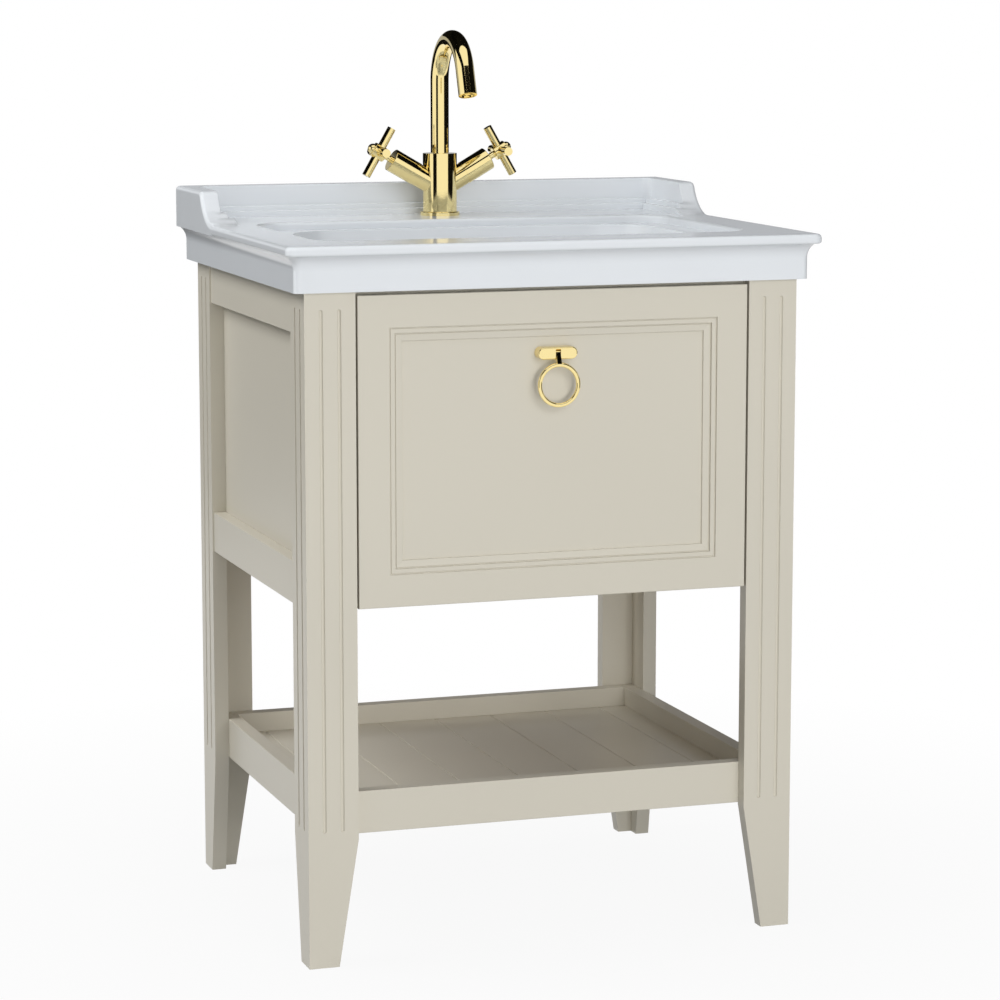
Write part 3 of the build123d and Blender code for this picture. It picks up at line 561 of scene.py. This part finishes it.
def cross_screw_tree():
    """A screw with a cross recess, its head's face on the point and its shank behind it, along -Y."""
    tree, given = growth_tree("cross_screw", ("Head Radius", "Head Height", "Shank Radius", "Shank Length"))
    # Two crossed bars cut the recess. They stand half over the head's face
    bar_width, bar_length, bar_height = 0.9 * MM, 4.6 * MM, 2.4 * MM
    head = add(
        tree,
        "GeometryNodeMeshCylinder",
        {"Vertices": 32, "Radius": given["Head Radius"], "Depth": given["Head Height"]},
    )
    head_rise = add(
        tree, "ShaderNodeCombineXYZ", {"Z": calculate(tree, "MULTIPLY", given["Head Height"], -0.5)}
    )
    seated = add(
        tree, "GeometryNodeTransform", {"Geometry": head.outputs[0], "Translation": head_rise.outputs[0]}
    )
    bars = []
    for label in ("X", "Y"):
        sizes = {"X": bar_width, "Y": bar_width, "Z": bar_height, label: bar_length}
        size = add(tree, "ShaderNodeCombineXYZ", sizes)
        bars.append(add(tree, "GeometryNodeMeshCube", {"Size": size.outputs[0]}).outputs[0])
    cut = add(
        tree,
        "GeometryNodeMeshBoolean",
        {"Mesh 1": seated.outputs[0], "Mesh 2": bars[0]},
        operation="DIFFERENCE",
    )
    tree.links.new(bars[1], cut.inputs["Mesh 2"])
    shank = add(
        tree,
        "GeometryNodeMeshCylinder",
        {"Vertices": 20, "Radius": given["Shank Radius"], "Depth": given["Shank Length"]},
    )
    half_shank = calculate(tree, "MULTIPLY", given["Shank Length"], -0.5)
    fall = calculate(tree, "SUBTRACT", half_shank, given["Head Height"])
    shank_fall = add(tree, "ShaderNodeCombineXYZ", {"Z": fall})
    behind = add(
        tree, "GeometryNodeTransform", {"Geometry": shank.outputs[0], "Translation": shank_fall.outputs[0]}
    )
    whole = add(tree, "GeometryNodeJoinGeometry", {"Geometry": cut.outputs[0]})
    tree.links.new(behind.outputs[0], whole.inputs["Geometry"])
    return on_points(tree, given, whole.outputs[0], (math.radians(-90), 0, 0))


def grow(name, tree, points, lengths, finish):
    """Run a geometry tree on loose points, and keep what it makes as a plain mesh."""
    mesh = bpy.data.meshes.new(name)
    mesh.from_pydata(points, [], [])
    piece = new_piece(name, mesh)
    growth = piece.modifiers.new(tree.name, "NODES")
    growth.node_group = tree
    sockets = {item.name: item.identifier for item in tree.interface.items_tree if item.in_out == "INPUT"}
    for label, value in {**lengths, "Finish": finish}.items():
        growth[sockets[label]] = value
    settle(piece)
    return piece


def hand_over(piece, node):
    """Let a finished piece stand for a CAD node on the node's own body."""
    body = body_of(NODES[node])[0]
    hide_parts(node)
    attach(piece, body)


# Settings


def colour(name, description, code):
    """A colour setting, from its sRGB hex code."""
    return FloatVectorProperty(
        name=name,
        description=description,
        subtype="COLOR",
        size=4,
        default=linear(code),
        min=0,
        max=1,
    )


def length(name, description, millimetres):
    """A length setting, from its size in millimetres."""
    return FloatProperty(
        name=name,
        description=description,
        default=millimetres * MM,
        min=millimetres * MM / 4,
        max=millimetres * MM * 4,
        subtype="DISTANCE",
        unit="LENGTH",
        precision=4,
    )


class VanityColours(bpy.types.PropertyGroup):
    """Colours of the finishes"""

    paint: colour("Paint", "Satin lacquer on the cabinet", "#D2CDBF")
    glaze: colour("Glaze", "Fired glaze of the basin", "#E3E7EB")
    gold: colour("Gold", "Coating of the mixer and the ring pull", "#FAE6A6")
    brass: colour("Bare brass", "Nuts, shank and valves", "#CDA95E")
    zinc: colour("Zinc", "Plate on the drawer runners and screws", "#C3C8CC")
    chrome: colour("Chrome", "Plate on the waste tail", "#D9DCE0")
    rubber: colour("Rubber", "Washers under the basin", "#1E1E1E")
    birch: colour("Birch", "Plywood of the drawer box", "#DDBF8E")


class VanitySizes(bpy.types.PropertyGroup):
    """Sizes of the finishing details"""

    board_edge: length("Board edge", "Radius sanded on the cabinet's edges", 0.9)
    front_edge: length("Drawer front edge", "Radius round the drawer front", 1.1)
    frame_width: length("Flat frame", "Width of the flat frame round the drawer front", 37.5)
    bead_width: length("Outer step", "Width of the moulding's outer step", 6.5)
    band_width: length("Inner step", "Width of the moulding's inner, sloping step", 9.3)
    field_drop: length("Field depth", "Depth of the sunk field behind the front's face", 7.0)
    china_edge: length("China edge", "Radius on the upright rail and its ears", 2.2)
    splash_height: length("Splash rail", "Height of the rail above the rim", 39.0)
    rim_thickness: length("Rim", "Thickness of the basin's rim", 11.5)
    apron_side_inset: length("Side inset", "From the rim's side edge to the apron", 12.5)
    apron_front_inset: length("Front inset", "From the rim's front edge to the apron", 15.5)
    apron_corner: length("Apron corner", "Radius of the apron's upright corners", 7.0)
    cove_radius: length("Cove", "Radius of the hollow under the rim", 20.0)
    cove_reach: length("Cove reach", "How far the hollow stands out from the apron's side", 10.3)
    screw_head: length("Screw head", "Radius of the screws' heads", 4.0)
    screw_head_height: length("Screw head height", "Height of the screws' heads", 2.5)
    shank_radius: length("Shank radius", "Radius of the mixer's threaded shank", 15.8)
    waste_radius: length("Waste thread radius", "Radius of the waste's threaded body", 20.9)
    shank_pitch: length("Thread pitch", "Distance from one thread turn to the next", 2.0)


# Operators

PAINTED_FRAME = (
    "leg_front_left",
    "leg_front_right",
    "leg_rear_left",
    "leg_rear_right",
    "side_rails_top",
    "side_rails_bottom",
    "side_panel_left",
    "side_panel_right",
    "front_rail_top",
    "front_rail_bottom",
    "rear_rail_top",
    "rear_rail_bottom",
)
PAINTED_SHELF = (
    "shelf_rail_front",
    "shelf_rail_rear",
    "shelf_rails_side",
    "shelf_panel",
    "shelf_cleats",
)
BIRCH_ALONG = (
    "drawer_side_left",
    "drawer_side_right",
    "drawer_floor",
    "runner_packer_left",
    "runner_packer_right",
)
BIRCH_ACROSS = ("drawer_back", "drawer_box_front", "corner_blocks")
MIXER_AND_WASTE = {
    "gold": (
        "aerator",
        "pull_bar",
        "pull_pin",
        "pull_ring",
        "spout",
        "tap_body",
        "tap_bonnet_left",
        "tap_bonnet_right",
        "tap_handle_left",
        "tap_handle_right",
        "tap_ring",
        "tap_stem_left",
        "tap_stem_right",
        "waste_body",
        "waste_plug",
    ),
    "brass": ("tap_nut", "tap_shank", "tap_valve_left", "tap_valve_right", "waste_nut"),
    "rubber": ("tap_washer", "waste_washer"),
    "chrome": ("waste_tail",),
}
FINISH = {}


class VANITY_OT_finishes(bpy.types.Operator):
    """Make the materials"""

    bl_idname = "vanity.finishes"
    bl_label = "Make finishes"

    def execute(self, context):
        colours = context.scene.vanity_colours
        FINISH.clear()
        FINISH["paint"] = satin_paint(colours)
        FINISH["china"] = vitreous_china(colours)
        FINISH["gold"] = polished_gold(colours)
        FINISH["brass"] = turned_brass(colours)
        FINISH["zinc"] = zinc_plate(colours)
        FINISH["chrome"] = chrome_tube(colours)
        FINISH["rubber"] = moulded_rubber(colours)
        FINISH["birch_side"] = birch_ply(colours, "birch_plywood_front_to_back", "Y", "X")
        FINISH["birch_cross"] = birch_ply(colours, "birch_plywood_side_to_side", "X", "Y")
        return {"FINISHED"}


class VANITY_OT_frame(bpy.types.Operator):
    """Paint the legs, rails and panels, with their edges sanded"""

    bl_idname = "vanity.frame"
    bl_label = "Paint the frame"

    def execute(self, context):
        radius = context.scene.vanity_sizes.board_edge
        for node in PAINTED_FRAME:
            hand_over(eased_board(node, FINISH["paint"], radius), node)
        return {"FINISHED"}


class VANITY_OT_shelf(bpy.types.Operator):
    """Paint the shelf tray"""

    bl_idname = "vanity.shelf"
    bl_label = "Paint the shelf"

    def execute(self, context):
        radius = context.scene.vanity_sizes.board_edge
        for node in PAINTED_SHELF:
            ease = radius / 3 if node == "shelf_panel" else radius
            hand_over(eased_board(node, FINISH["paint"], ease), node)
        return {"FINISHED"}


class VANITY_OT_drawer(bpy.types.Operator):
    """Finish the drawer front, its box and the runners"""

    bl_idname = "vanity.drawer"
    bl_label = "Finish the drawer"

    def execute(self, context):
        sizes = context.scene.vanity_sizes
        front = framed_front("drawer_front", "moulded_drawer_front", sizes, FINISH["paint"])
        hand_over(front, "drawer_front")
        for node in BIRCH_ALONG:
            dress(NODES[node], FINISH["birch_side"])
        for node in BIRCH_ACROSS:
            dress(NODES[node], FINISH["birch_cross"])
        for node in NODES:
            if node.startswith("runner_") and "packer" not in node:
                dress(NODES[node], FINISH["zinc"])
        return {"FINISHED"}


class VANITY_OT_screws(bpy.types.Operator):
    """Make the screws with their cross recesses"""

    bl_idname = "vanity.screws"
    bl_label = "Make the screws"

    def execute(self, context):
        sizes = context.scene.vanity_sizes
        tree = cross_screw_tree()
        head = sizes.screw_head
        for node in ("drawer_screws", "pull_screws"):
            low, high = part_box(node)
            # The screws stand at the corners of their node's box, with their heads inside the drawer
            across = (low[0] + head, high[0] - head)
            heights = sorted({round(low[2] + head, 5), round(high[2] - head, 5)})
            points = [(x, high[1], z) for x in across for z in heights]
            lengths = {
                "Head Radius": head,
                "Head Height": sizes.screw_head_height,
                "Shank Radius": head / 2,
                "Shank Length": high[1] - low[1] - sizes.screw_head_height,
            }
            piece = grow(f"cross_{node}", tree, points, lengths, FINISH["zinc"])
            hand_over(piece, node)
        return {"FINISHED"}


class VANITY_OT_threads(bpy.types.Operator):
    """Wind the threads on the mixer's shank and on the waste"""

    bl_idname = "vanity.threads"
    bl_label = "Wind the threads"

    def execute(self, context):
        sizes = context.scene.vanity_sizes
        tree = thread_tree()
        crest = 0.3 * sizes.shank_pitch
        for node, nut, radius, finish, slot in (
            ("tap_shank", "tap_nut", sizes.shank_radius, "brass", "plain_brass"),
            ("waste_body", "waste_nut", sizes.waste_radius, "gold", "polished_brass"),
        ):
            low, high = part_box(node)
            # The thread starts one turn up, and ends one turn past the underside of its nut
            start = low[2] + sizes.shank_pitch
            foot = ((low[0] + high[0]) / 2, (low[1] + high[1]) / 2, start)
            lengths = {
                "Radius": radius,
                "Pitch": sizes.shank_pitch,
                "Length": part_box(nut)[0][2] + sizes.shank_pitch - start,
                "Crest": crest,
            }
            piece = grow(f"thread_on_{node}", tree, [foot], lengths, FINISH[finish])
            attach(piece, body_of(NODES[node])[0])
        return {"FINISHED"}


class VANITY_OT_basin(bpy.types.Operator):
    """Glaze the basin"""

    bl_idname = "vanity.basin"
    bl_label = "Glaze the basin"

    def execute(self, context):
        sizes = context.scene.vanity_sizes
        rim_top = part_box("basin")[1][2] - sizes.splash_height
        # Only the rail and the ears are eased, from 2 mm over the rim
        above = rim_top + 2 * MM
        basin = eased_china("basin", "glazed_basin", above, sizes.china_edge, FINISH["china"])
        hand_over(basin, "basin")
        cove = rim_cove("glazed_rim_cove", sizes, FINISH["china"])
        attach(cove, body_of(NODES["basin"])[0])
        return {"FINISHED"}


class VANITY_OT_metal(bpy.types.Operator):
    """Finish the mixer, the waste and the ring pull"""

    bl_idname = "vanity.metal"
    bl_label = "Finish the metal"

    def execute(self, context):
        for finish, nodes in MIXER_AND_WASTE.items():
            for node in nodes:
                dress(NODES[node], FINISH[finish])
        return {"FINISHED"}


class VANITY_OT_stage(bpy.types.Operator):
    """Set the floor, the lights and the camera"""

    bl_idname = "vanity.stage"
    bl_label = "Set the stage"

    def execute(self, context):
        pale_floor()
        pale_world()
        softboxes()
        dark_flags()
        photo_camera()
        context.scene.view_settings.view_transform = "Standard"
        return {"FINISHED"}


# Stage


def seen_directly(tree):
    """One for a ray of the camera, a reflection or a transmission, and nought for any other."""
    ray = add(tree, "ShaderNodeLightPath").outputs
    either = calculate(tree, "MAXIMUM", ray["Is Camera Ray"], ray["Is Glossy Ray"])
    return calculate(tree, "MAXIMUM", either, ray["Is Transmission Ray"])


def pale_floor():
    """A wide white floor that keeps the object's shadow but meets the white background."""
    material, tree = bare_material("white_studio_floor")
    lit = add(tree, "ShaderNodeBsdfDiffuse", {"Color": (0.42, 0.42, 0.42, 1)})
    white = add(tree, "ShaderNodeEmission", {"Color": (1, 1, 1, 1), "Strength": 1.0})
    # Near the feet a trace of the shadow shows, and from 1.3 m out the floor is the background's white
    where = add(tree, "ShaderNodeTexCoord")
    away = add(tree, "ShaderNodeVectorMath", {0: where.outputs["Object"]}, operation="LENGTH")
    fade = add(
        tree,
        "ShaderNodeMapRange",
        {"Value": away.outputs["Value"], "From Min": 0.3, "From Max": 1.3, "To Min": 0.93, "To Max": 1.0},
    )
    share = calculate(tree, "MULTIPLY", seen_directly(tree), fade.outputs[0])
    mixed = add(tree, "ShaderNodeMixShader", {0: share, 1: lit.outputs[0], 2: white.outputs[0]})
    add(tree, "ShaderNodeOutputMaterial", {"Surface": mixed.outputs[0]})
    mesh = bpy.data.meshes.new("floor")
    reach = 12.0
    mesh.from_pydata(
        [(-reach, -reach, 0), (reach, -reach, 0), (reach, reach, 0), (-reach, reach, 0)],
        [],
        [(0, 1, 2, 3)],
    )
    floor = new_piece("floor", mesh)
    dress(floor, material)


def pale_world():
    """White to the eye and in reflections, softer as a light on the object."""
    world = bpy.data.worlds.new("white_studio")
    bpy.context.scene.world = world
    world.use_nodes = True
    tree = world.node_tree
    tree.nodes.clear()
    level = add(
        tree, "ShaderNodeMapRange", {"Value": seen_directly(tree), "To Min": 0.32, "To Max": 1.0}
    )
    back = add(tree, "ShaderNodeBackground", {"Color": (1, 1, 1, 1), "Strength": level.outputs[0]})
    add(tree, "ShaderNodeOutputWorld", {"Surface": back.outputs[0]})


def aim(thing, target):
    """Turn a light at a place to face a target."""
    way = target - thing.location
    thing.rotation_euler = way.to_track_quat("-Z", "Y").to_euler()


def studio_place(turn, rise, reach):
    """A point round the unit: turn is measured from the camera, to its right, in degrees."""
    angle = math.radians(90 - CAMERA_YAW + turn)
    lift = math.radians(rise)
    level = reach * math.cos(lift)
    return Vector((-level * math.cos(angle), -level * math.sin(angle), reach * math.sin(lift)))


def softboxes():
    """A broad key in front, to the right, with weaker ones for the shelf, the flank and the tops."""
    middle = Vector((0, 0, 0.5))
    for name, turn, rise, reach, size, power in (
        ("key_softbox", 24, 19, 4.4, 2.2, 60.0),
        ("low_softbox", 16, 0, 4.0, 1.0, 42.0),
        ("left_softbox", -78, 42, 2.8, 1.4, 42.0),
        ("top_softbox", 10, 70, 3.2, 1.6, 5.0),
    ):
        light = bpy.data.lights.new(name, "AREA")
        light.shape = "SQUARE"
        light.size = size
        light.energy = power
        lamp = bpy.data.objects.new(name, light)
        lamp.location = studio_place(turn, rise, reach) + middle
        bpy.context.scene.collection.objects.link(lamp)
        aim(lamp, middle)
        lamp.visible_camera = False
        lamp.visible_glossy = False


def dark_flags():
    """Black walls and a black ceiling that only reflections see. Through the gaps between them
    the white studio draws pale stripes on the polished metal."""
    material, tree = bare_material("black_flag_felt")
    felt = add(tree, "ShaderNodeBsdfDiffuse", {"Color": (0.01, 0.01, 0.01, 1)})
    add(tree, "ShaderNodeOutputMaterial", {"Surface": felt.outputs[0]})
    grey, tree = bare_material("grey_studio_card")
    glow = add(tree, "ShaderNodeEmission", {"Color": linear("#B2B4B8"), "Strength": 1.0})
    add(tree, "ShaderNodeOutputMaterial", {"Surface": glow.outputs[0]})
    reach, top, facet = 3.2, 3.4, 8
    # The grey band is what the tops of the glazed rim reflect at the camera's flat angle
    for name, start, end, foot, head, cover in (
        ("flag_left", -48, -22, 0.0, top, material),
        ("flag_low", 60, 254, 0.0, 0.98, material),
        ("flag_band", 60, 254, 0.98, 1.6, grey),
        ("flag_high", 60, 254, 1.6, top, material),
    ):
        steps = max(2, round((end - start) / facet))
        feet = [studio_place(start + (end - start) * i / steps, 0, reach) for i in range(steps + 1)]
        verts = [(v.x, v.y, z) for v in feet for z in (foot, head)]
        faces = [(2 * i, 2 * i + 2, 2 * i + 3, 2 * i + 1) for i in range(steps)]
        flag_card(name, verts, faces, cover)
    # The ceiling is black but for one bright opening, in front of the mixer and above it
    ahead = studio_place(20, 0, 1.0)
    side = Vector((-ahead.y, ahead.x, 0))
    for name, near, far, left, right in (
        ("flag_front", 2.8, 4.6, -4.0, 4.0),
        ("flag_back", -4.0, 0.0, -4.0, 4.0),
        ("flag_right", 0.0, 2.8, 1.8, 4.0),
        ("flag_far_left", 0.0, 2.8, -4.0, -1.8),
    ):
        corners = ((near, left), (near, right), (far, left), (far, right))
        verts = [ahead * out + side * over + Vector((0, 0, top)) for out, over in corners]
        flag_card(name, verts, [(0, 1, 3, 2)], material)


def flag_card(name, verts, faces, material):
    """One card of the studio, which only reflections see."""
    mesh = bpy.data.meshes.new(name)
    mesh.from_pydata(verts, [], faces)
    card = new_piece(name, mesh)
    dress(card, material)
    card.visible_camera = False
    card.visible_diffuse = False
    card.visible_shadow = False
    card.visible_transmission = False


def photo_camera():
    """Camera at the photograph's viewing angle, for a square picture."""
    lens = bpy.data.cameras.new("photo_camera")
    lens.sensor_width = 36.0
    lens.sensor_fit = "HORIZONTAL"
    lens.lens = CAMERA_LENS
    camera = bpy.data.objects.new("photo_camera", lens)
    yaw = math.radians(CAMERA_YAW)
    pitch = math.radians(CAMERA_PITCH)
    ahead = Vector((math.sin(yaw) * math.cos(pitch), math.cos(yaw) * math.cos(pitch), -math.sin(pitch)))
    right = Vector((math.cos(yaw), -math.sin(yaw), 0))
    up = right.cross(ahead)
    turn = Matrix((right, up, -ahead)).transposed().to_4x4()
    camera.matrix_world = Matrix.Translation(CAMERA_PLACE) @ turn
    bpy.context.scene.collection.objects.link(camera)
    bpy.context.scene.camera = camera


# Panel


class VANITY_PT_panel(bpy.types.Panel):
    """Steps and settings of the vanity unit"""

    bl_label = "Vanity unit"
    bl_idname = "VANITY_PT_panel"
    bl_space_type = "VIEW_3D"
    bl_region_type = "UI"
    bl_category = "Vanity"

    def draw(self, context):
        for group in (context.scene.vanity_colours, context.scene.vanity_sizes):
            for name in group.bl_rna.properties.keys():
                if name not in ("rna_type", "name"):
                    self.layout.prop(group, name)
        for step in STEPS:
            self.layout.operator(step.bl_idname)


STEPS = (
    VANITY_OT_finishes,
    VANITY_OT_frame,
    VANITY_OT_shelf,
    VANITY_OT_drawer,
    VANITY_OT_screws,
    VANITY_OT_basin,
    VANITY_OT_metal,
    VANITY_OT_threads,
    VANITY_OT_stage,
)
CLASSES = (VanityColours, VanitySizes, *STEPS, VANITY_PT_panel)


def register():
    """Add the classes and the scene's settings."""
    for kind in CLASSES:
        bpy.utils.register_class(kind)
    bpy.types.Scene.vanity_colours = PointerProperty(type=VanityColours)
    bpy.types.Scene.vanity_sizes = PointerProperty(type=VanitySizes)


def unregister():
    """Take the classes and the settings away."""
    del bpy.types.Scene.vanity_sizes
    del bpy.types.Scene.vanity_colours
    for kind in reversed(CLASSES):
        bpy.utils.unregister_class(kind)


def main():
    """Dress the unit step by step."""
    register()
    bpy.ops.vanity.finishes()
    bpy.ops.vanity.frame()
    bpy.ops.vanity.shelf()
    bpy.ops.vanity.drawer()
    bpy.ops.vanity.screws()
    bpy.ops.vanity.basin()
    bpy.ops.vanity.metal()
    bpy.ops.vanity.threads()
    bpy.ops.vanity.stage()
    bpy.context.view_layer.update()


if __name__ == "__main__":
    main()
